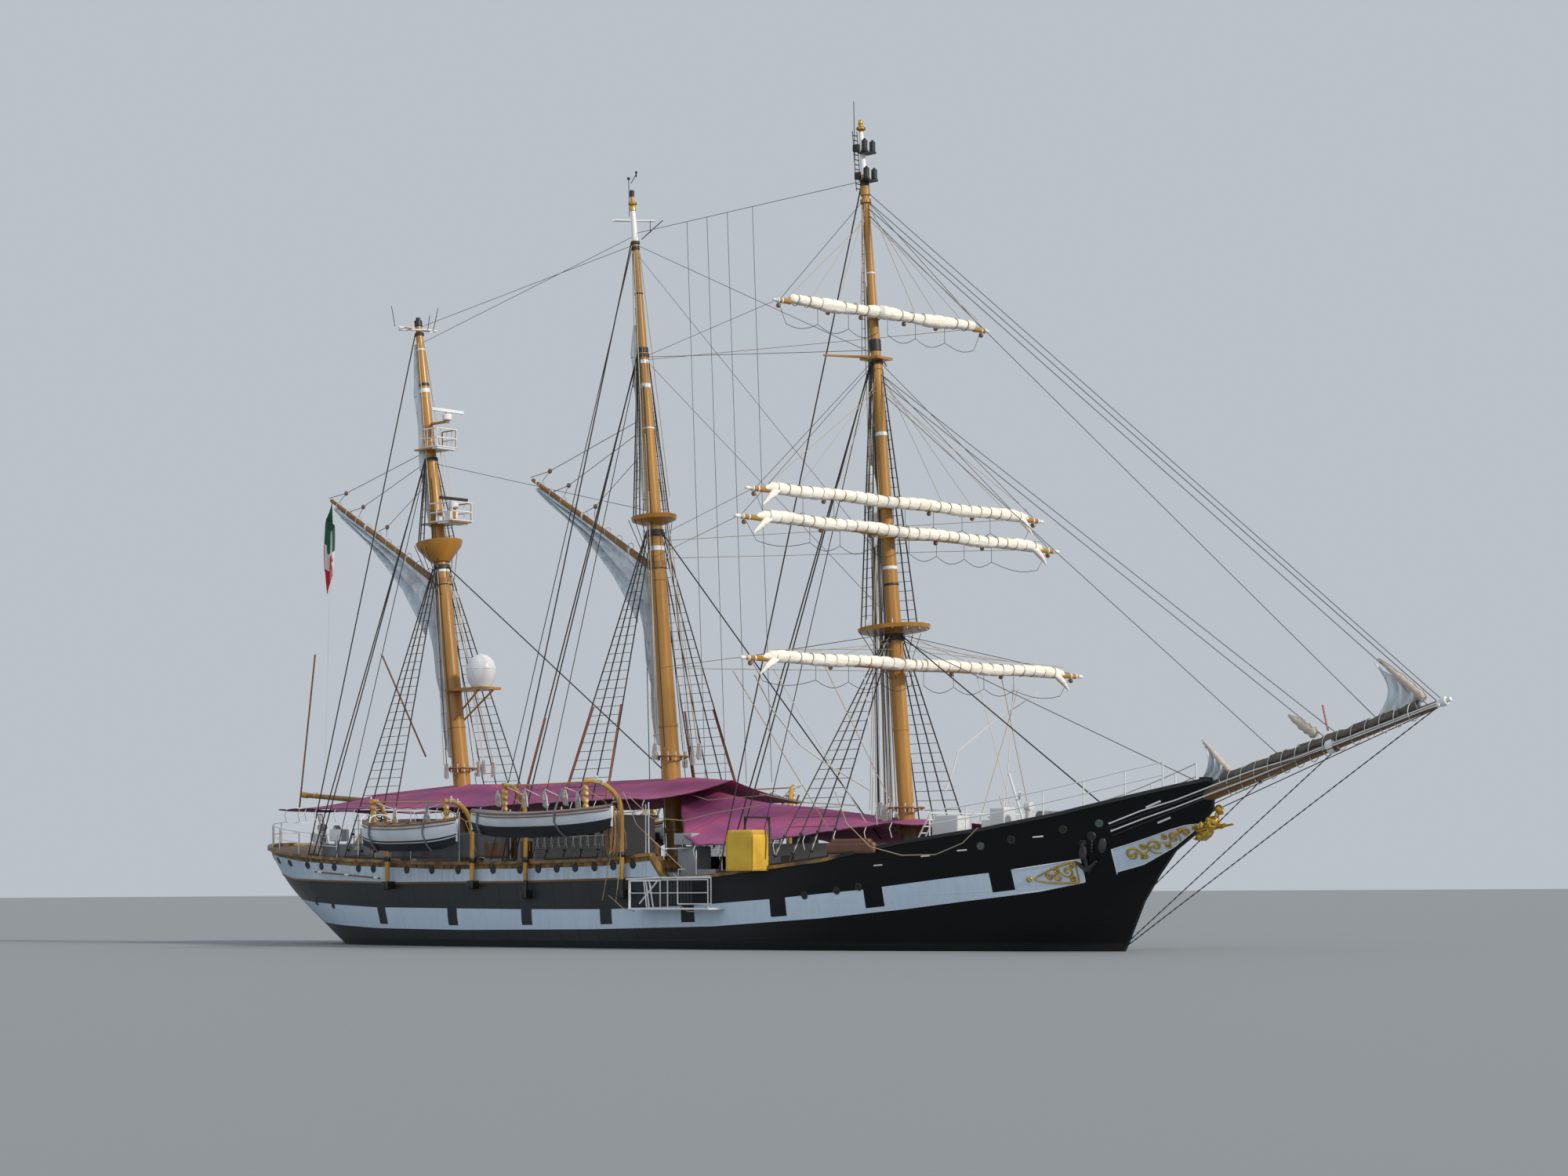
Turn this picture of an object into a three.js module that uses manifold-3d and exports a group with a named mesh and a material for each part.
// Tall ship, a three-masted barquentine with a steel hull, as a 1:2 scale model.
// Lengths are written in metres of the full-size ship and scaled once, in place().
// +X is the bow, +Y port, +Z up. The origin is amidships, on the waterline.
import * as THREE from 'three';
import Module from 'manifold-3d';

const wasm = await Module();
wasm.setup();
const { Manifold, Mesh } = wasm;

// Scale and fits
const M = 500; // model millimetres per full-size metre
const GAP = 0.0008; // seam between two fixed pieces
const PLAY = 0.0012; // room between a piece that turns and the seat it turns on

// Hull lines, stern to stem: keel or stem height, half-breadth at the rail, and the
// two exponents that round the section (round) and hollow it (flare)
const HULL_LINES = [
  { x: -28.7, keel: 4.3, half: 0.3, round: 1, flare: 0.5 },
  { x: -28.45, keel: 3.85, half: 1.4, round: 1, flare: 0.5 },
  { x: -27.9, keel: 3.05, half: 2.25, round: 1, flare: 0.5 },
  { x: -27.3, keel: 2.5, half: 2.85, round: 1, flare: 0.48 },
  { x: -26.0, keel: 1.55, half: 3.85, round: 1, flare: 0.46 },
  { x: -25.0, keel: 0.95, half: 4.25, round: 1, flare: 0.45 },
  { x: -23.6, keel: 0.15, half: 4.5, round: 1, flare: 0.42 },
  { x: -22.3, keel: -0.6, half: 4.65, round: 1.2, flare: 0.42 },
  { x: -20.0, keel: -1.9, half: 4.78, round: 2, flare: 0.5 },
  { x: -16.0, keel: -3.5, half: 4.95, round: 2.5, flare: 0.6 },
  { x: -10.0, keel: -4.3, half: 5.05, round: 3, flare: 0.6 },
  { x: -2.0, keel: -4.5, half: 5.05, round: 3.3, flare: 0.6 },
  { x: 5.0, keel: -4.5, half: 5.02, round: 3, flare: 0.65 },
  { x: 10.0, keel: -4.4, half: 4.85, round: 2.4, flare: 0.7 },
  { x: 14.0, keel: -4.2, half: 4.5, round: 1.9, flare: 0.75 },
  { x: 18.0, keel: -3.8, half: 3.85, round: 1.4, flare: 0.82 },
  { x: 21.0, keel: -2.9, half: 3.05, round: 1.1, flare: 0.92 },
  { x: 23.0, keel: -1.2, half: 2.4, round: 1, flare: 0.95 },
  { x: 23.9, keel: 0.4, half: 2.1, round: 1, flare: 0.9 },
  { x: 24.66, keel: 1.96, half: 1.85, round: 1, flare: 0.85 },
  { x: 25.43, keel: 3.02, half: 1.55, round: 1, flare: 0.8 },
  { x: 26.2, keel: 3.93, half: 1.25, round: 1, flare: 0.8 },
  { x: 27.14, keel: 4.55, half: 0.85, round: 1, flare: 0.8 },
  { x: 28.0, keel: 5.5, half: 0.3, round: 1, flare: 0.8 },
];

// Top of the cap rail, stern to stem: poop, curved step, bulwark, forecastle
const RAIL = [
  { x: -28.7, z: 5.02 }, { x: -25.6, z: 4.68 }, { x: -22.7, z: 4.36 }, { x: -18.4, z: 4.09 },
  { x: -11.5, z: 3.87 }, { x: -6.0, z: 3.85 }, { x: -0.8, z: 3.92 }, { x: 2.1, z: 4.12 },
  { x: 2.6, z: 3.5 }, { x: 3.1, z: 3.06 }, { x: 6.1, z: 3.21 }, { x: 11.9, z: 3.77 },
  { x: 15.8, z: 4.45 }, { x: 19.4, z: 4.92 }, { x: 22.2, z: 5.42 }, { x: 24.7, z: 5.98 },
  { x: 28.0, z: 6.72 },
];
const CAP = 0.14; // thickness of the cap rail
const BULWARK = 0.16; // thickness of the bulwark plating with its frames
const WELL = { x0: 2.5, x1: 15.5, z: 2.1 }; // sunken main deck between poop and forecastle
const FORECASTLE = { x0: 15.7, x1: 26.2, drop: 0.32 };

// Masts: place at the waterline, rake aft, the joint of lower mast and topmast, and
// the diameters at given heights
const MASTS = {
  fore: {
    x: 12.77, rake: 4.56, foot: 2.1, joint: 13.6,
    rings: [[2.1, 0.7], [13.4, 0.64], [20, 0.5], [25, 0.44], [28, 0.37], [32.3, 0.3], [35.2, 0.16]],
  },
  main: {
    x: -0.99, rake: 5.14, foot: 3.79, joint: 19.5,
    rings: [[3.79, 0.86], [9, 0.84], [18, 0.71], [24, 0.57], [29, 0.39], [32, 0.3], [34.12, 0.16]],
  },
  mizzen: {
    x: -14.93, rake: 7.92, foot: 3.84, joint: 19.5,
    rings: [[3.84, 0.86], [8, 0.83], [16, 0.76], [24, 0.53], [28, 0.44], [30.24, 0.3]],
  },
};

// Square yards of the foremast: half length, height, brace angle, distance ahead of the mast
const YARDS = [
  { name: 'course', half: 9.82, z: 11.74, brace: -5.2, ahead: 1.25, r: 0.17 },
  { name: 'lower_topsail', half: 10.13, z: 17.35, brace: -0.5, ahead: 0.97, r: 0.17 },
  { name: 'upper_topsail', half: 9.04, z: 18.6, brace: -2.1, ahead: 0.85, r: 0.15 },
  { name: 'topgallant', half: 6.12, z: 26.7, brace: -6.3, ahead: 0.6, r: 0.12 },
];

// Gaffs: jaw height, peak; booms: gooseneck height, outer end
const GAFFS = [
  { mast: 'main', jaw: 17.16, peak: [-10.86, 21.8], foot: 9 },
  { mast: 'mizzen', jaw: 17.45, peak: [-25.91, 22.16], foot: 8.9 },
];
const BOOMS = [
  { mast: 'main', z: 6.75, end: [-14.0, 6.85] },
  { mast: 'mizzen', z: 6.45, end: [-27.98, 7.41] },
];

// Boats on the starboard side: ends, gunwale, depth, beam
const BOATS = [
  { name: 'long_boat', x0: -7.8, x1: 1.3, gunwale: 5.85, depth: 1.0, beam: 2.1 },
  { name: 'short_boat', x0: -15.5, x1: -8.8, gunwale: 5.5, depth: 1.15, beam: 1.9 },
];
const BOAT_Y = 6.5;

// Davits of those boats: post, head and foot
const DAVITS = [
  { boat: 'long_boat', x: -5.6, head: -5.6, top: 7.2, foot: 2.3 },
  { boat: 'long_boat', x: 0.6, head: -0.35, top: 7.25, foot: 2.3 },
  { boat: 'short_boat', x: -15.2, head: -14.7, top: 6.7, foot: 2.75 },
  { boat: 'short_boat', x: -9.2, head: -9.55, top: 6.6, foot: 2.75 },
];
const DAVIT = { y: 5.28, reach: 6.6, r: 0.11 };

// Bowsprit: centre line and radii
const SPRIT = { heel: [26.7, 5.785], tip: [38.3, 9.2], r0: 0.33, r1: 0.13 };

// Topmast rigging: two bands on the topmast, the feet of its backstays on the cap rail,
// and the rim of the top from which its shrouds rise
const TOPMAST_RIGGING = [
  { mast: 'fore', bands: [24.7, 32.2], rim: { z: 13.43, r: 1.44 }, feet: [6.3, 6.7, 7.1] },
  { mast: 'main', bands: [26.7, 31.9], rim: { z: 19.31, r: 0.94 }, feet: [-7.3, -6.9, -6.5] },
  { mast: 'mizzen', bands: [23.4, 29.6], rim: { z: 19.28, r: 1.02 }, feet: [-21.7, -21.3, -20.9] },
];

// Shrouds: feet on the cap rail, band on the mast, and the stay led forward
const SHROUDS = [
  { mast: 'fore', feet: [9.1, 10.1, 11.1, 12.1], band: 13.15, stay: [23.8, 5.0] },
  { mast: 'main', feet: [-4.6, -3.4, -2.3, -1.2], band: 18.7, stay: [10.9, 4.6] },
  { mast: 'mizzen', feet: [-18.9, -17.8, -16.7, -15.6], band: 18.2, stay: [-2.18, 7.9] },
];
const WIRE = 0.03; // radius of shrouds and stays

// Awnings: ridge and edge heights along the ship; the edge is half a breadth from the centre
const AFT_AWNING = [
  { x: -22.3, ridge: 7.28, edge: 6.47, half: 4.6 },
  { x: -15.9, ridge: 7.6, edge: 6.34, half: 4.8 },
  { x: -9.9, ridge: 7.45, edge: 6.28, half: 4.8 },
  { x: -0.5, ridge: 7.5, edge: 6.42, half: 4.8 },
  { x: 2.1, ridge: 7.3, edge: 6.36, half: 4.8 },
];
const FORE_AWNING = [
  { x: 3.2, ridge: 6.42, edge: 4.75, half: 4.1 },
  { x: 4.65, ridge: 6.2, edge: 4.34, half: 4.8 },
  { x: 7.0, ridge: 6.0, edge: 4.38, half: 4.8 },
  { x: 9.6, ridge: 5.7, edge: 4.57, half: 4.6 },
  { x: 12.0, ridge: 5.42, edge: 4.85, half: 4.25 },
  { x: 14.9, ridge: 5.3, edge: 5.12, half: 3.9 },
];
const TAIL_AWNING = [
  { x: -25.4, ridge: 6.62, edge: 6.5, half: 3.8 },
  { x: -22.2, ridge: 6.5, edge: 6.48, half: 4.6 },
];
const CLOTH = 0.05;

// Materials
const paint = (color, roughness = 0.5, metalness = 0) =>
  new THREE.MeshStandardMaterial({ color, roughness, metalness });
const BLACK = 0x15171a;
const WHITE = 0xe8e6e0;
const MUSTARD = 0xb07a25;
const WOOD = 0x8a5a33;
const CANVAS = 0xd9d3c4;
const PLUM = 0x86305f;
const GOLD = 0xc99a2e;
const STEEL = 0x3a3a3c;

// Solids

/** Turns a closed three.js geometry into a solid. */
function solid(geometry) {
  const g = geometry.index ? geometry.toNonIndexed() : geometry;
  const p = g.getAttribute('position');
  const seen = new Map();
  const vertProperties = [];
  const triVerts = [];
  for (let i = 0; i < p.count; i += 3) {
    const tri = [];
    for (let j = i; j < i + 3; j++) {
      const at = [p.getX(j), p.getY(j), p.getZ(j)];
      const key = at.map((v) => Math.round(v * 1e5)).join();
      if (!seen.has(key)) {
        seen.set(key, seen.size);
        vertProperties.push(...at);
      }
      tri.push(seen.get(key));
    }
    if (new Set(tri).size === 3) triVerts.push(...tri);
  }
  return new Manifold(new Mesh({
    numProp: 3,
    vertProperties: new Float32Array(vertProperties),
    triVerts: new Uint32Array(triVerts),
  }));
}

/** Adds a list of solids together. */
const join = (list) => Manifold.union(list);

/** Skins a row of closed rings with equal numbers of points; the ends are capped. */
function loft(rings) {
  const n = rings[0].length;
  const points = [];
  const quad = (a, b, c, d) => points.push(a, b, c, a, c, d);
  for (let i = 0; i + 1 < rings.length; i++) {
    for (let j = 0; j < n; j++) {
      const k = (j + 1) % n;
      quad(rings[i][j], rings[i][k], rings[i + 1][k], rings[i + 1][j]);
    }
  }
  const cap = (ring, flip) => {
    const mid = [0, 1, 2].map((c) => ring.reduce((s, q) => s + q[c], 0) / n);
    for (let j = 0; j < n; j++) {
      const k = (j + 1) % n;
      points.push(...(flip ? [mid, ring[k], ring[j]] : [mid, ring[j], ring[k]]));
    }
  };
  cap(rings[0], true);
  cap(rings[rings.length - 1], false);
  const g = new THREE.BufferGeometry();
  g.setAttribute('position', new THREE.Float32BufferAttribute(points.flat(), 3));
  const body = solid(g);
  if (body.volume() > 0) return body;
  const turned = [];
  for (let i = 0; i < points.length; i += 3) turned.push(points[i], points[i + 2], points[i + 1]);
  g.setAttribute('position', new THREE.Float32BufferAttribute(turned.flat(), 3));
  return solid(g);
}

/** A rectangular block between two corners. */
function block(x0, x1, y0, y1, z0, z1) {
  return Manifold.cube([x1 - x0, y1 - y0, z1 - z0]).translate([x0, y0, z0]);
}

/** A round bar between two points. */
function rod(a, b, r0, r1 = r0, sides = 6) {
  const from = new THREE.Vector3(...a);
  const to = new THREE.Vector3(...b);
  const along = to.clone().sub(from);
  const side = new THREE.Vector3(0, 0, 1);
  if (Math.abs(along.z) > 0.9 * along.length()) side.set(1, 0, 0);
  const u = side.clone().cross(along).normalize();
  const v = along.clone().cross(u).normalize();
  const ring = (at, r) => Array.from({ length: sides }, (_, i) => {
    const t = ((i + 0.5) / sides) * 2 * Math.PI;
    return at.clone().addScaledVector(u, r * Math.cos(t)).addScaledVector(v, r * Math.sin(t)).toArray();
  });
  return loft([ring(from, r0), ring(to, r1)]);
}

/** A round bar bent through a list of points that lie roughly in one plane. */
function bar(points, r, sides = 6) {
  const p = points.map((q) => new THREE.Vector3(...q));
  const steps = p.slice(1).map((q, i) => q.clone().sub(p[i]).normalize());
  const normal = new THREE.Vector3();
  for (let i = 0; i + 1 < steps.length; i++) normal.add(steps[i].clone().cross(steps[i + 1]));
  if (normal.length() < 1e-3) normal.set(0, 0, 1);
  normal.normalize();
  return loft(p.map((at, i) => {
    const before = steps[Math.max(0, i - 1)];
    const after = steps[Math.min(steps.length - 1, i)];
    const mitre = 1 / Math.sqrt((1 + before.dot(after)) / 2);
    const across = before.clone().add(after).cross(normal).normalize();
    return Array.from({ length: sides }, (_, k) => {
      const t = ((k + 0.5) / sides) * 2 * Math.PI;
      return at.clone()
        .addScaledVector(across, r * mitre * Math.cos(t))
        .addScaledVector(normal, r * Math.sin(t))
        .toArray();
    });
  }));
}

/** A flat outline in the X-Z plane, thickened to both sides of the centre line. */
function plate(outline, half) {
  const near = outline.map(([x, z]) => new THREE.Vector2(x, z));
  const shape = new THREE.Shape(near);
  const g = new THREE.ExtrudeGeometry(shape, { depth: 2 * half, bevelEnabled: false, steps: 1 });
  g.rotateX(Math.PI / 2);
  g.translate(0, half, 0);
  return solid(g);
}

/** The port copy of a starboard solid. */
const port = (body) => body.mirror([0, 1, 0]);

/** Value of one column of a table at x, on straight lines between its rows. */
function along(table, x, column) {
  const last = table.length - 1;
  if (x <= table[0].x) return table[0][column];
  if (x >= table[last].x) return table[last][column];
  const i = table.findIndex((row) => row.x > x);
  const [a, b] = [table[i - 1], table[i]];
  return a[column] + ((b[column] - a[column]) * (x - a.x)) / (b.x - a.x);
}

const group = new THREE.Group();
group.name = 'tall_ship';

/** Scales a solid to the model and adds it as a named node. */
function place(name, body, material) {
  const { vertProperties, triVerts } = body.getMesh();
  const g = new THREE.BufferGeometry();
  const scaled = Float32Array.from(vertProperties, (v) => v * M);
  g.setAttribute('position', new THREE.BufferAttribute(scaled, 3));
  g.setIndex(new THREE.BufferAttribute(Uint32Array.from(triVerts), 1));
  const flat = g.toNonIndexed();
  flat.computeVertexNormals();
  const mesh = new THREE.Mesh(flat, material);
  mesh.name = name;
  group.add(mesh);
  return body;
}

// Hull

/** The rows of a table with more between them, on smooth curves that never overshoot. */
function faired(table, spacing) {
  const columns = Object.keys(table[0]).filter((key) => key !== 'x');
  const slope = (key, i) => (table[i + 1][key] - table[i][key]) / (table[i + 1].x - table[i].x);
  const tangent = (key, i) => {
    if (i === 0) return slope(key, 0);
    if (i === table.length - 1) return slope(key, i - 1);
    const [a, b] = [slope(key, i - 1), slope(key, i)];
    return a * b > 0 ? (2 * a * b) / (a + b) : 0;
  };
  return table.flatMap((row, i) => {
    if (i === table.length - 1) return [row];
    const next = table[i + 1];
    const span = next.x - row.x;
    const count = Math.max(1, Math.round(span / spacing));
    return Array.from({ length: count }, (_, k) => {
      const t = k / count;
      const made = { x: row.x + t * span };
      for (const key of columns) {
        made[key] = (1 + 2 * t) * (1 - t) ** 2 * row[key] + t * (1 - t) ** 2 * span * tangent(key, i)
          + t * t * (3 - 2 * t) * next[key] + t * t * (t - 1) * span * tangent(key, i + 1);
      }
      return made;
    });
  });
}
const LINES = faired(HULL_LINES, 2.2);

/** Half-breadth of the hull at a station and a height. */
function halfBreadth(x, z) {
  const keel = along(LINES, x, 'keel');
  const top = along(RAIL, x, 'z');
  const t = Math.min(1, Math.max(0, (z - keel) / (top - keel)));
  const full = 1 - (1 - t) ** along(LINES, x, 'round');
  return along(LINES, x, 'half') * full ** along(LINES, x, 'flare');
}

const STATIONS = [...new Set([
  ...LINES.map((row) => row.x), ...RAIL.map((row) => row.x), 2.35, 2.85,
])].sort((a, b) => a - b);
const LEVELS = [0, 0.02, 0.06, 0.12, 0.2, 0.3, 0.42, 0.55, 0.7, 0.85, 1];

/** The hull without its decks, grown outwards by a small amount. */
function hullBody(grow = 0) {
  return loft(STATIONS.map((x) => {
    const keel = along(LINES, x, 'keel');
    const top = along(RAIL, x, 'z') - CAP;
    const side = LEVELS.map((t) => {
      const z = keel + t * (top - keel);
      return [Math.max(0.08, halfBreadth(x, z)) + grow, z + (t === 1 ? grow : t === 0 ? -grow : 0)];
    });
    return [
      ...side.map(([y, z]) => [x, -y, z]),
      ...side.reverse().map(([y, z]) => [x, y, z]),
    ];
  }));
}

/** The space above a deck, inside the bulwarks, drawn in by a small amount. */
function deckSpace(x0, x1, floor, grow) {
  const xs = [x0 + grow, ...STATIONS.filter((x) => x > x0 + grow && x < x1 - grow), x1 - grow];
  return loft(xs.map((x) => {
    const z = floor(x) + grow;
    const knee = Math.max(z + 0.05, 3.2);
    const low = halfBreadth(x, z) - BULWARK - grow;
    const y = halfBreadth(x, knee) - BULWARK - grow;
    return [[x, -low, z], [x, low, z], [x, y, knee], [x, y, 9], [x, -y, 9], [x, -y, knee]];
  }));
}

const keelPlate = plate([
  [23.3, -0.4], [22.7, -2.0], [21.4, -3.6], [19, -4.5], [15, -4.72], [-20.4, -4.85],
  [-23.7, -4.85], [-23.7, -4.6], [-20.5, -4.6], [-20.5, -1.3], [-16, -3], [0, -4], [15, -3.8], [20, -2.8],
], 0.17);
const sternTube = rod([-19, 0, -3.05], [-20.75, 0, -3.05], 0.3, 0.24, 10);
const spritAt = (x) => SPRIT.heel[1]
  + ((SPRIT.tip[1] - SPRIT.heel[1]) * (x - SPRIT.heel[0])) / (SPRIT.tip[0] - SPRIT.heel[0]);
const spritRod = (x0, x1, grow = 0) => {
  const r = (x) => SPRIT.r0 + ((SPRIT.r1 - SPRIT.r0) * (x - SPRIT.heel[0])) / (SPRIT.tip[0] - SPRIT.heel[0]);
  return rod([x0, 0, spritAt(x0)], [x1, 0, spritAt(x1)], r(x0) + grow, r(x1) + grow, 14);
};
const STOCK = { x: -22.75, r: 0.16 }; // rudder stock
const boreR = (STOCK.r + PLAY) / Math.cos(Math.PI / 12);
const stockBore = Manifold.cylinder(3.2, boreR, boreR, 12).translate([STOCK.x, 0, -2]);

const forecastleFloor = (x) => along(RAIL, x, 'z') - CAP - FORECASTLE.drop;
const decked = (grow) => hullBody(grow)
  .add(keelPlate)
  .subtract(deckSpace(WELL.x0, WELL.x1, () => WELL.z, grow))
  .subtract(deckSpace(FORECASTLE.x0, FORECASTLE.x1, forecastleFloor, grow));
const hull = decked(0)
  .add(sternTube)
  .subtract(spritRod(SPRIT.heel[0] - GAP, 30, GAP))
  .subtract(stockBore);
place('hull', hull, paint(BLACK, 0.35));

/** Trims a piece so that it seats on the hull. */
const grown = decked(GAP);
const seat = (body) => body.subtract(grown);

// Cap rail all the way round, down the curved step and up to the stem
const railLine = STATIONS.map((x) => ({ x, y: along(LINES, x, 'half'), z: along(RAIL, x, 'z') }));

/** A rail of rectangular section that follows the ship's side between two stations. */
function sideRail(line, outer, inner, z0, z1) {
  return loft(line.map(({ x, y, z }) => {
    const out = y + outer;
    const inn = Math.max(0.02, y - inner);
    return [[x, -out, z + z0], [x, -inn, z + z0], [x, -inn, z + z1], [x, -out, z + z1]];
  }));
}
const capStarboard = sideRail(railLine, 0.1, 0.26, GAP - CAP, 0);
const capStern = block(-28.86, -28.68, -0.5, 0.5, 5.02 - CAP + GAP, 5.02);
const capBow = block(27.7, 27.9, -0.5, 0.5, 6.7 - CAP + GAP + 0.02, 6.74);
const capRails = seat(join([capStarboard, port(capStarboard), capStern, capBow]));
place('cap_rails', capRails, paint(MUSTARD, 0.45));

// Guard rails: posts with two bars, along the poop and round the forecastle
function guardRail(xs, height, inset) {
  const spots = xs.map((x) => [x, -(along(LINES, x, 'half') - inset), along(RAIL, x, 'z')]);
  const parts = spots.map(([x, y, z]) => rod([x, y, z - 0.03], [x, y, z + height], 0.03, 0.03, 4));
  for (const level of [0.5, 1]) {
    parts.push(bar(spots.map(([x, y, z]) => [x, y, z + height * level - 0.02]), 0.025, 4));
  }
  return join(parts);
}
const poopPosts = [-28.4, -27.6, -26.4, -24.9, -23, -21.4, -19.8];
const poopSide = guardRail(poopPosts, 1.05, 0.22);
const aftBar = (k) => {
  const z = 4.97 + 1.05 * k;
  return rod([-28.4, -1.3, z], [-28.4, 1.3, z], 0.025, 0.025, 4);
};
const capGrown = join([[0, 0, GAP], [0, 0, -GAP], [0, GAP, 0], [0, -GAP, 0]].map((by) => capRails.translate(by)));
const onCap = (body) => body.subtract(capGrown);
place('poop_rail', onCap(join([poopSide, port(poopSide), aftBar(0.5), aftBar(1)])), paint(WHITE));
const bowPosts = [17, 18.6, 20.2, 21.8, 23.4, 25, 26.4];
const bowSide = guardRail(bowPosts, 1.0, 0.08);
const bowTie = rod([17, -4.1, 5.55], [17, 4.1, 5.55], 0.025, 0.025, 4);
place('forecastle_rail', onCap(join([bowSide, port(bowSide), bowTie])), paint(WHITE));

// Deckhouses
const deckAt = (x) => along(RAIL, x, 'z') - CAP;
const house = (x0, x1, half, top) => seat(join([
  block(x0, x1, -half, half, Math.min(deckAt(x0), deckAt(x1)) - 0.3, top - 0.12),
  block(x0 - 0.12, x1 + 0.12, -half - 0.12, half + 0.12, top - 0.13, top),
]));
place('poop_deckhouse', house(-12.5, -4.5, 1.7, 5.95), paint(WHITE));
place('aft_deckhouse', house(-20.8, -17.6, 1.5, 6.0), paint(WHITE));
const foreHouse = join([
  block(5.2, 10.4, -1.8, 1.8, WELL.z + GAP, 4.35),
  block(5.08, 10.52, -1.92, 1.92, 4.34, 4.46),
]);
place('fore_deckhouse', foreHouse, paint(WHITE));

// Anchor windlass on the forecastle
const windlass = seat(join([
  block(20.3, 20.7, -0.9, -0.7, 4.3, 5.55),
  block(20.3, 20.7, 0.7, 0.9, 4.3, 5.55),
  rod([20.5, -1.3, 5.35], [20.5, 1.3, 5.35], 0.24, 0.24, 12),
]));
place('windlass', windlass, paint(STEEL));

// Bowsprit
const sprit = (grow) => join([
  spritRod(SPRIT.heel[0], SPRIT.tip[0], grow),
  rod([33.3 - grow, 0, spritAt(33.3)], [33.6 + grow, 0, spritAt(33.6)], 0.3 + grow, 0.3 + grow, 14),
]);
place('bowsprit', sprit(0), paint(MUSTARD));

// Figurehead: a robed figure leaning out under the bowsprit
const figure = join([
  loft([[27.3, 4.42, 0.1], [27.6, 4.5, 0.24], [27.95, 4.75, 0.27], [28.2, 5.0, 0.24], [28.32, 5.2, 0.12]].map(
    ([x, z, r]) => Array.from({ length: 8 }, (_, i) => {
      const t = (i / 8) * 2 * Math.PI;
      return [x - 0.6 * r * Math.sin(t), 0.9 * r * Math.cos(t), z + r * Math.sin(t)];
    }),
  )),
  Manifold.sphere(0.15, 12).translate([28.45, 0, 5.4]),
  rod([28.1, -0.2, 5.05], [28.55, -0.3, 4.85], 0.07, 0.05, 6),
  rod([28.1, 0.2, 5.05], [28.55, 0.3, 4.85], 0.07, 0.05, 6),
  rod([28.3, 0, 5.15], [28.42, 0, 5.35], 0.08, 0.07, 6),
  rod([27.1, 0, 5.0], [27.7, 0, 4.55], 0.16, 0.12, 8),
]).subtract(hullBody(GAP)).subtract(spritRod(26.8, 32, GAP));
place('figurehead', figure, paint(GOLD, 0.35, 0.6));

// Anchors, drawn up to their hawse pipes at the bow
const ANCHOR = { x: 23.15, top: 4.25, crown: 3.2 };
const anchorSide = (z, out) => -halfBreadth(ANCHOR.x, z) - out;
const anchorBody = seat(join([
  rod([ANCHOR.x, anchorSide(4.2, -0.3), ANCHOR.top + 0.1], [ANCHOR.x, anchorSide(4.2, 0.12), ANCHOR.top], 0.14, 0.14, 8),
  rod([ANCHOR.x, anchorSide(4.2, 0.12), ANCHOR.top], [ANCHOR.x, anchorSide(3.3, 0.1), ANCHOR.crown], 0.08, 0.08, 6),
  rod([ANCHOR.x - 0.5, anchorSide(3.5, 0.2), 3.55], [ANCHOR.x, anchorSide(3.3, 0.1), ANCHOR.crown], 0.05, 0.13, 6),
  rod([ANCHOR.x + 0.5, anchorSide(3.5, 0.1), 3.55], [ANCHOR.x, anchorSide(3.3, 0.1), ANCHOR.crown], 0.05, 0.13, 6),
]));
place('anchor_starboard', anchorBody, paint(STEEL));
place('anchor_port', seat(port(anchorBody)), paint(STEEL));

// Masts
const mastX = (mast, z) => MASTS[mast].x - Math.tan((MASTS[mast].rake * Math.PI) / 180) * z;
const mastR = (mast, z) => {
  const rows = MASTS[mast].rings.map(([x, d]) => ({ x, d }));
  return along(rows, z, 'd') / 2;
};

/** A round solid square to a mast's raked axis; each row is a height and a radius. */
const SIDES = 16;
function turned(mast, rows, step = 0) {
  const rake = (MASTS[mast].rake * Math.PI) / 180;
  return loft(rows.map(([z, r]) => Array.from({ length: SIDES }, (_, i) => {
    const t = ((i + step) / SIDES) * 2 * Math.PI;
    const ahead = r * Math.cos(t);
    return [mastX(mast, z) + ahead * Math.cos(rake), r * Math.sin(t), z + ahead * Math.sin(rake)];
  })));
}

/** A bore round a mast, its flats facing the mast's corners, at some room from them. */
const bore = (mast, z0, z1, thickest, room) => {
  const r = (mastR(mast, thickest) + room) / Math.cos(Math.PI / SIDES);
  return turned(mast, [[z0, r], [z1, r]], 0.5);
};

/** A ring round a mast, with some room inside it. */
function collar(mast, z0, z1, room, wall) {
  const outer = mastR(mast, z0) + room + wall;
  return turned(mast, [[z0, outer], [z1, outer]], 0.5).subtract(bore(mast, z0 - 0.1, z1 + 0.1, z0, room));
}

/** Clears the way round a mast for a piece that turns on a ring of some half height. */
const offMast = (body, mast, z, half) => body.subtract(bore(mast, z - 1, z + 1, z - half, PLAY));

/** A length of mast between two heights. */
function spar(mast, z0, z1, grow = 0) {
  const inner = MASTS[mast].rings.filter(([z]) => z > z0 && z < z1).map(([z]) => z);
  return turned(mast, [z0, ...inner, z1].map((z) => [z, mastR(mast, z) + grow]));
}

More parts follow.
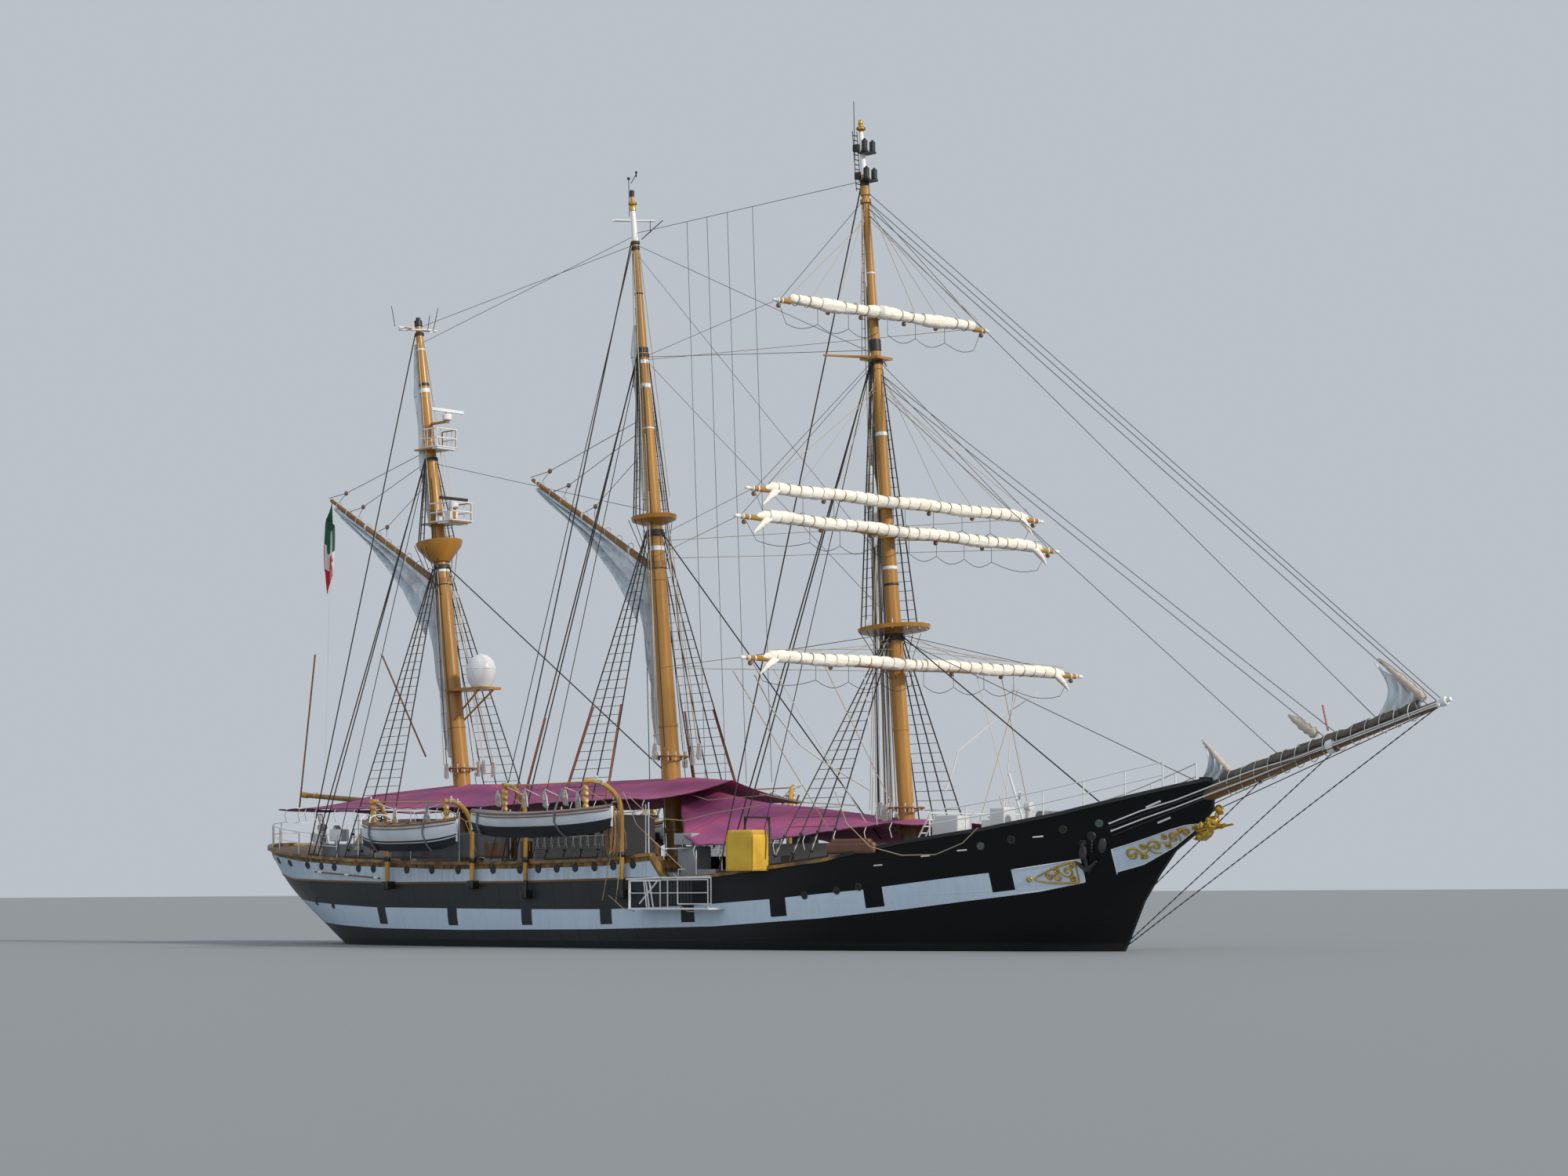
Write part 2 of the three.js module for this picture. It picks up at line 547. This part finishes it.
const tops = {
  fore: turned('fore', [[13.3, 0.5], [13.34, 1.5], [13.5, 1.55], [13.52, 0.5]]),
  main: turned('main', [[19.0, 0.45], [19.2, 1.0], [19.38, 1.05], [19.4, 0.45]]),
  mizzen: turned('mizzen', [[18.4, 0.45], [19.1, 1.05], [19.38, 1.15], [19.4, 0.45]]),
};
for (const name of ['fore', 'main']) {
  const { foot, joint, rings } = MASTS[name];
  const lower = seat(join([spar(name, foot - 0.1, joint), tops[name]]));
  place(`${name}_lower_mast`, lower, paint(MUSTARD));
  const head = rings[rings.length - 1][0];
  const parts = [spar(name, joint + GAP, head)];
  if (name === 'fore') {
    const z = 24.95;
    const x = mastX('fore', z);
    for (const s of [-1, 1]) parts.push(rod([x + 0.3, 0, z], [x - 1.2, 2.0 * s, z + 0.05], 0.07, 0.04, 6));
    parts.push(block(x - 0.5, x + 0.5, -0.5, 0.5, z - 0.08, z + 0.02));
  } else {
    const z = 33.0;
    const x = mastX('main', z);
    parts.push(rod([x - 0.5, -0.7, z], [x + 0.5, 0.7, z], 0.04, 0.04, 6));
  }
  place(`${name}_topmast`, join(parts), paint(MUSTARD));
}

// Mizzen lower mast with the radome bracket
const domeX = mastX('mizzen', 12.2) + 2.05;
const bracket = join([
  block(mastX('mizzen', 12.2), domeX + 0.75, -0.6, 0.6, 12.1, 12.22),
  rod([mastX('mizzen', 10.6), -0.3, 10.6], [domeX + 0.4, -0.45, 12.15], 0.05, 0.05, 6),
  rod([mastX('mizzen', 10.6), 0.3, 10.6], [domeX + 0.4, 0.45, 12.15], 0.05, 0.05, 6),
]);
const mizzenLower = seat(join([spar('mizzen', MASTS.mizzen.foot - 0.1, 19.5), tops.mizzen, bracket]));
place('mizzen_lower_mast', mizzenLower, paint(MUSTARD));

const domeRows = [[12.22 + GAP, 0.45], [12.6, 0.66], [13.1, 0.73], [13.5, 0.6], [13.74, 0.34], [13.82, 0.08]];
const dome = loft(domeRows.map(([z, r]) => Array.from({ length: 16 }, (_, i) => {
  const t = (i / 16) * 2 * Math.PI;
  return [domeX + r * Math.cos(t), r * Math.sin(t), z];
})));
place('radome', dome, paint(WHITE, 0.3));

// Mizzen topmast with its railed platforms and the radar posts
const LOWER_RADAR = { z: 21.4, x: mastX('mizzen', 21.4) + 1.36 };
const UPPER_RADAR = { z: 25.71, x: mastX('mizzen', 25.7) + 1.5 };
function platform(z, reach, width) {
  const x = mastX('mizzen', z);
  const rail = [[x + 0.2, -width, z + 0.9], [x + reach, -width, z + 0.9], [x + reach, width, z + 0.9],
    [x + 0.2, width, z + 0.9]];
  return join([
    block(x - 0.5, x + reach, -width, width, z - 0.07, z),
    bar(rail, 0.03, 4),
    ...rail.map(([px, py]) => rod([px, py, z - 0.05], [px, py, z + 0.9], 0.03, 0.03, 4)),
  ]);
}
const mizzenTop = join([
  spar('mizzen', 19.5 + GAP, 30.24),
  platform(20.3, 1.8, 0.6),
  platform(23.95, 1.2, 0.6),
  rod([LOWER_RADAR.x, 0, 20.25], [LOWER_RADAR.x, 0, LOWER_RADAR.z - 0.1 - PLAY], 0.12, 0.12, 8),
  rod([mastX('mizzen', 25.2), 0, 25.2], [UPPER_RADAR.x, 0, 25.2], 0.07, 0.07, 6),
  rod([UPPER_RADAR.x, 0, 25.13], [UPPER_RADAR.x, 0, UPPER_RADAR.z - 0.1 - PLAY], 0.12, 0.12, 8),
  rod([mastX('mizzen', 29.9), -0.9, 29.9], [mastX('mizzen', 29.9), 0.9, 29.9], 0.04, 0.04, 6),
]);
place('mizzen_topmast', mizzenTop, paint(MUSTARD));

// Radar scanners, each a bar that turns on its post
for (const [name, { x, z }] of [['radar_lower', LOWER_RADAR], ['radar_upper', UPPER_RADAR]]) {
  const half = name === 'radar_upper' ? 1.0 : 0.85;
  place(name, join([
    block(x - 0.07, x + 0.07, -half, half, z - 0.06, z + 0.08),
    rod([x, 0, z - 0.1], [x, 0, z], 0.08, 0.08, 8),
  ]), paint(WHITE));
}

// Shrouds with the stay led forward, all held by a band on the mast
const onRail = (x, side, out) => [x, side * (along(LINES, x, 'half') + out), along(RAIL, x, 'z') + 0.05];
function wires({ mast, feet, band, stay }, radius) {
  const x = mastX(mast, band);
  const r = mastR(mast, band) + 0.035;
  const rods = [rod([x + r, 0, band], [stay[0], 0, stay[1]], radius, radius, 4)];
  for (const s of [-1, 1]) {
    feet.forEach((foot, i) => {
      const t = 0.4 * (i - 1.5) - 0.2;
      const from = [x + r * Math.sin(t), s * r * Math.cos(t), band];
      rods.push(rod(from, onRail(foot, s, 0), radius, radius, 4));
    });
  }
  return rods;
}
const seatWires = (body) => seat(onCap(body));
for (const row of SHROUDS) {
  const parts = [collar(row.mast, row.band - 0.06, row.band + 0.06, GAP, 0.06), ...wires(row, WIRE)];
  const last = row.feet[row.feet.length - 1];
  for (const s of [-1, 1]) parts.push(rod(onRail(row.feet[0], s, 0), onRail(last, s, 0), 0.06, 0.06, 4));
  const clear = spar(row.mast, row.band - 1, row.band + 0.05, 0.5 * GAP);
  place(`${row.mast}_shrouds`, seatWires(join(parts)).subtract(clear), paint(STEEL));
}

// Topmast rigging, its shrouds and backstays held by the two bands
const BAND_HEIGHT = 0.12;
const OUTBOARD = 0.1; // how far outside the hull's side the backstays' feet lie
function topmastWires({ mast, bands, rim, feet }, radius) {
  const lean = Math.tan((MASTS[mast].rake * Math.PI) / 180);
  const at = (band, side, turn) => {
    const r = mastR(mast, band) + 0.035;
    return [mastX(mast, band) - r * Math.sin(turn), side * r * Math.cos(turn), band + 0.5 * BAND_HEIGHT];
  };
  const rods = [];
  for (const s of [-1, 1]) {
    const ends = feet.map((x) => onRail(x, s, OUTBOARD));
    rods.push(rod(at(bands[1], s, 0.6), ends[0], radius, radius, 4));
    rods.push(rod(at(bands[0], s, 1.2), ends[1], radius, radius, 4));
    rods.push(rod(at(bands[0], s, 0.85), ends[2], radius, radius, 4));
    for (const [share, turn] of [[-0.55, 0.5], [-0.25, 0.15], [0.05, -0.2]]) {
      const back = share * rim.r;
      const from = [mastX(mast, rim.z) + back, s * Math.sqrt(rim.r ** 2 - back ** 2), rim.z + lean * back];
      rods.push(rod(from, at(bands[0], s, turn), radius, radius, 4));
    }
  }
  return rods;
}
for (const row of TOPMAST_RIGGING) {
  const { mast, bands, feet } = row;
  const rings = bands.map((z) => collar(mast, z, z + BAND_HEIGHT, GAP, 0.06));
  const steps = [-1, 1].map((s) => rod(
    onRail(feet[0], s, OUTBOARD), onRail(feet[2], s, OUTBOARD), 0.06, 0.06, 4,
  ));
  const rig = join([...rings, ...topmastWires(row, WIRE), ...steps])
    .subtract(tops[mast].translate([0, 0, GAP]))
    .subtract(spar(mast, bands[0] - 2, bands[1] + 1, 0.5 * GAP));
  place(`${mast}_topmast_rigging`, seatWires(rig), paint(STEEL));
}
const wireHoles = join([
  ...SHROUDS.flatMap((row) => wires(row, WIRE + GAP)),
  ...TOPMAST_RIGGING.flatMap((row) => topmastWires(row, WIRE + GAP)),
]);

// Headstays, held by a rod along the bowsprit
const HEADSTAYS = [
  { z: 23.6, x: 31.3 }, { z: 24.4, x: 33.9 }, { z: 31.2, x: 35.6 }, { z: 31.8, x: 38.0 },
];
const spritTop = (x) => spritAt(x) + SPRIT.r0
  + ((SPRIT.r1 - SPRIT.r0) * (x - SPRIT.heel[0])) / (SPRIT.tip[0] - SPRIT.heel[0]);
const stayRod = (x) => [x, 0, spritTop(x) + 0.05];
const headstays = (grow) => join([
  rod(stayRod(30.5 - grow), stayRod(38.15 + grow), 0.06 + grow, 0.06 + grow, 4),
  ...HEADSTAYS.map(({ z, x }) => rod(
    [mastX('fore', z), 0, z], [x, 0, spritTop(x)], WIRE + grow, WIRE + grow, 4,
  )),
]).subtract(spar('fore', 20, 34, GAP - grow));
place('headstays', headstays(0).subtract(sprit(GAP)), paint(STEEL));

// Furled headsails, one bundle along the bowsprit with upstanding heads
const bundleAt = (x) => [x, 0, spritTop(x) + 0.26];
const headsails = join([
  rod(bundleAt(29), bundleAt(37.2), 0.2, 0.16, 8),
  rod(bundleAt(37.1), [35.44, 0, 10.84], 0.3, 0.08, 8),
  rod(bundleAt(32.2), [31.54, 0, 8.89], 0.25, 0.08, 8),
]).subtract(headstays(GAP)).subtract(sprit(GAP));
place('furled_headsails', headsails, paint(CANVAS, 0.9));

// Square yards with their furled sails
for (const { name, half, z, brace, ahead, r } of YARDS) {
  const a = (brace * Math.PI) / 180;
  const x = mastX('fore', z) + ahead;
  const end = (k, up = 0) => [x - k * half * Math.sin(a), k * half * Math.cos(a), z + up];
  const hub = mastR('fore', z) + PLAY;
  const yard = (grow) => join([
    rod(end(-1), end(0), 0.45 * r + grow, r + grow, 10),
    rod(end(0), end(1), r + grow, 0.45 * r + grow, 10),
    rod([mastX('fore', z) + hub + 0.04, 0, z], [x, 0, z], 0.07 + grow, 0.07 + grow, 6),
  ]);
  place(`${name}_yard`, yard(0).add(collar('fore', z - 0.1, z + 0.1, PLAY, 0.07)), paint(MUSTARD));
  const sail = join([
    rod(end(-0.88, 0.1), end(-0.5, 0.1), 0.22, 0.3, 10),
    rod(end(-0.5, 0.1), end(0.5, 0.1), 0.3, 0.3, 10),
    rod(end(0.5, 0.1), end(0.88, 0.1), 0.3, 0.22, 10),
  ]).subtract(yard(GAP)).subtract(turned('fore', [[z - 1, hub + 0.1], [z + 1, hub + 0.1]]));
  place(`furled_${name}`, sail, paint(CANVAS, 0.9));
}

// Gaffs, each with its sail brailed up under it and down the mast
const gaffSpar = ({ mast, jaw, peak }, grow) => rod(
  [mastX(mast, jaw) - mastR(mast, jaw) - PLAY - 0.05, 0, jaw], [peak[0] - grow, 0, peak[1]],
  0.17 + grow, 0.09 + grow, 10,
);
for (const row of GAFFS) {
  const { mast, jaw, peak, foot } = row;
  const x = mastX(mast, jaw);
  const jaws = collar(mast, jaw - 0.15, jaw + 0.15, PLAY, 0.08);
  place(`${mast}_gaff`, offMast(gaffSpar(row, 0).add(jaws), mast, jaw, 0.15), paint(MUSTARD));
  const t = (k) => [x + (peak[0] - x) * k, jaw + (peak[1] - jaw) * k];
  const down = (z) => mastX(mast, z) - mastR(mast, z) - 0.1;
  const sail = plate([
    [t(0.94)[0], t(0.94)[1] - 0.25], [t(0.5)[0], t(0.5)[1] - 0.25], [t(0.12)[0] - 0.1, t(0.12)[1] - 0.35],
    [down(16.2), 16.2], [down(foot), foot], [down(foot) - 0.35, foot + 0.2], [down(13) - 0.55, 13],
    [t(0.27)[0], t(0.27)[1] - 2.3], [t(0.45)[0], t(0.45)[1] - 1.35], [t(0.7)[0], t(0.7)[1] - 0.9],
    [t(0.92)[0], t(0.92)[1] - 0.55],
  ], 0.2).subtract(gaffSpar(row, GAP));
  place(`brailed_${mast}_sail`, sail, paint(CANVAS, 0.9));
}

// Booms under the awnings
for (const { mast, z, end } of BOOMS) {
  const x = mastX(mast, z);
  const r = mastR(mast, z) + PLAY;
  place(`${mast}_boom`, offMast(join([
    rod([x - r - 0.05, 0, z], [end[0], 0, end[1]], 0.16, 0.12, 10),
    collar(mast, z - 0.12, z + 0.12, PLAY, 0.08),
  ]), mast, z, 0.12), paint(MUSTARD));
}

// Ensign hanging limp from the mizzen peak
const FLAG_X = -25.95;
const flagRows = [[22.08, 0.05, 0.04], [21.5, 0.3, 0.1], [20, 0.34, 0.14], [18.4, 0.3, 0.16], [17.4, 0.1, 0.08]];
const flag = loft(flagRows.map(([z, a, b]) => Array.from({ length: 8 }, (_, i) => {
  const t = (i / 8) * 2 * Math.PI;
  return [FLAG_X + a * Math.cos(t), b * Math.sin(t), z];
})));
place('ensign', flag.subtract(gaffSpar(GAFFS[1], GAP)), paint(0xa02a32, 0.9));

// Awnings
function awning(rows, tip) {
  const rings = rows.map(({ x, ridge, edge, half }) => {
    const mid = (ridge + edge) / 2 + 0.02;
    const top = [[-half, edge], [-half / 2, mid], [0, ridge], [half / 2, mid], [half, edge]];
    return [
      ...top.map(([y, z]) => [x, y, z]),
      [x, half, 3],
      [x, -half, 3],
    ];
  });
  if (tip) rings.unshift(rings[0].map(([, y, z]) => [tip.x, y * 0.06, z > 3 ? tip.z : 3]));
  const thick = loft(rings);
  return thick.subtract(thick.translate([0, 0, -CLOTH]));
}
const mastHole = (mast) => turned(mast, [[4, 0.02], [9, 0.02]].map(([z, room]) => [z, mastR(mast, z) + room]));
const aftAwning = awning(AFT_AWNING)
  .add(awning(TAIL_AWNING))
  .subtract(mastHole('mizzen'))
  .subtract(mastHole('main'))
  .subtract(wireHoles);
const foreAwning = awning(FORE_AWNING, { x: -1.1, z: 7.3 })
  .subtract(mastHole('fore'))
  .subtract(wireHoles);
place('aft_awning', aftAwning, paint(PLUM, 0.85));
place('fore_awning', foreAwning, paint(PLUM, 0.85));

// Covered case on the starboard rail
place('deck_case', seat(onCap(block(7.45, 8.98, -5.8, -4.92, 3.25, 4.92))), paint(0xd6a528, 0.7));

// Boarding platform folded against the starboard side
const boardY = -5.2;
const boarding = seat(join([
  block(1.63, 6.49, boardY - 0.7, -4.8, 1.69, 1.77),
  bar([[1.7, boardY - 0.65, 1.75], [1.7, boardY - 0.65, 2.95], [6.4, boardY - 0.65, 2.95], [6.4, boardY - 0.65, 1.75]], 0.03, 4),
  rod([4, boardY - 0.65, 1.75], [4, boardY - 0.65, 2.95], 0.03, 0.03, 4),
  rod([1.7, boardY - 0.65, 2.4], [6.4, boardY - 0.65, 2.4], 0.025, 0.025, 4),
]));
place('boarding_platform', boarding, paint(WHITE));

// Boats
function boat({ x0, x1, gunwale, depth, beam }) {
  const half = (x1 - x0) / 2;
  const mid = (x0 + x1) / 2;
  return loft([-1, -0.92, -0.7, -0.35, 0, 0.35, 0.7, 0.92, 1].map((k) => {
    const b = (beam / 2) * Math.max(0.06, (1 - Math.abs(k) ** 2.4));
    const lift = 0.25 * k * k;
    const keel = gunwale - depth + 0.35 * k ** 4;
    const z = gunwale + lift;
    return [[0, keel], [0.5 * b, keel + 0.25 * (z - keel)], [0.9 * b, keel + 0.6 * (z - keel)], [b, z],
      [0.5 * b, z + 0.12], [-0.5 * b, z + 0.12], [-b, z], [-0.9 * b, keel + 0.6 * (z - keel)],
      [-0.5 * b, keel + 0.25 * (z - keel)]].map(([y, h]) => [mid + k * half, y - BOAT_Y, h]);
  }));
}
for (const row of BOATS) {
  const body = boat(row);
  place(`${row.name}_starboard`, body, paint(WHITE));
  place(`${row.name}_port`, port(body), paint(WHITE));
  // Davits, with the span between their heads and the falls
  const parts = [];
  const heads = [];
  for (const { x, head, top, foot } of DAVITS.filter((d) => d.boat === row.name)) {
    const bend = Array.from({ length: 7 }, (_, i) => {
      const t = ((i + 1) / 7) * 0.55 * Math.PI;
      const out = (1 - Math.cos(t)) / (1 - Math.cos(0.55 * Math.PI));
      return [x + out * (head - x), -DAVIT.y - out * (DAVIT.reach - DAVIT.y), top - 1.4 + 1.4 * Math.sin(t)];
    });
    parts.push(bar([[x, -DAVIT.y, foot], [x, -DAVIT.y, top - 1.4], ...bend], DAVIT.r, 8));
    parts.push(block(x - 0.2, x + 0.2, -DAVIT.y - 0.15, -along(LINES, x, 'half') + 0.3, foot - 0.1, foot + 0.25));
    parts.push(rod([head, -BOAT_Y, top - 0.1], [head, -BOAT_Y, row.gunwale], 0.03, 0.03, 6));
    heads.push([head, -BOAT_Y, top - 0.05]);
  }
  parts.push(rod(heads[0], heads[1], 0.03, 0.03, 6));
  const davits = seat(join(parts)).subtract(body.translate([0, 0, GAP]));
  place(`${row.name}_davits_starboard`, davits, paint(MUSTARD));
  place(`${row.name}_davits_port`, seat(port(davits)), paint(MUSTARD));
}

// Rudder
const rudder = join([
  plate([[-22.6, -4.5], [-24.2, -4.45], [-24.35, -2.5], [-24.0, -1.0], [-22.6, -0.9]], 0.11),
  rod([STOCK.x, 0, -4.6 + PLAY], [STOCK.x, 0, 1.1], STOCK.r, STOCK.r, 12),
]);
place('rudder', rudder, paint(BLACK));

// Propeller
const PROP_X = -21.3;
const PROP_Z = -3.05;
const blade = loft([0.15, 0.5, 0.9, 1.2].map((r, i) => {
  const twist = [1.0, 0.75, 0.6, 0.5][i];
  const w = [0.16, 0.36, 0.4, 0.18][i];
  const [c, s] = [Math.cos(twist), Math.sin(twist)];
  return [[-w, -0.03], [w, -0.03], [w, 0.03], [-w, 0.03]].map(([u, v]) => [
    PROP_X + u * s + v * c, u * c - v * s, r,
  ]);
}));
const blades = [0, 90, 180, 270].map((a) => blade.rotate([a, 0, 0]).translate([0, 0, PROP_Z]));
place('propeller', join([
  ...blades,
  rod([PROP_X - 0.35, 0, PROP_Z], [-20.75 - PLAY, 0, PROP_Z], 0.16, 0.22, 12),
]), paint(GOLD, 0.3, 0.8));

// Steering wheel on its shaft
const HELM = { x: -22.4, z: 5.45, r: 0.72 };
const rim = new THREE.TorusGeometry(HELM.r, 0.045, 6, 20);
rim.rotateY(Math.PI / 2);
rim.translate(HELM.x, 0, HELM.z);
place('helm_wheel', join([
  solid(rim),
  ...[0, 1, 2, 3].map((i) => {
    const t = (i * Math.PI) / 4;
    const reach = HELM.r + 0.2;
    return rod([HELM.x, -reach * Math.cos(t), HELM.z - reach * Math.sin(t)],
      [HELM.x, reach * Math.cos(t), HELM.z + reach * Math.sin(t)], 0.03, 0.03, 6);
  }),
  rod([HELM.x - 0.1, 0, HELM.z], [HELM.x + 0.45, 0, HELM.z], 0.07, 0.07, 8),
]), paint(WOOD));
place('helm_stand', join([
  seat(block(HELM.x + 0.45 + PLAY, HELM.x + 0.95, -0.3, 0.3, 3.9, HELM.z + 0.25)),
]), paint(WHITE));

export default group;
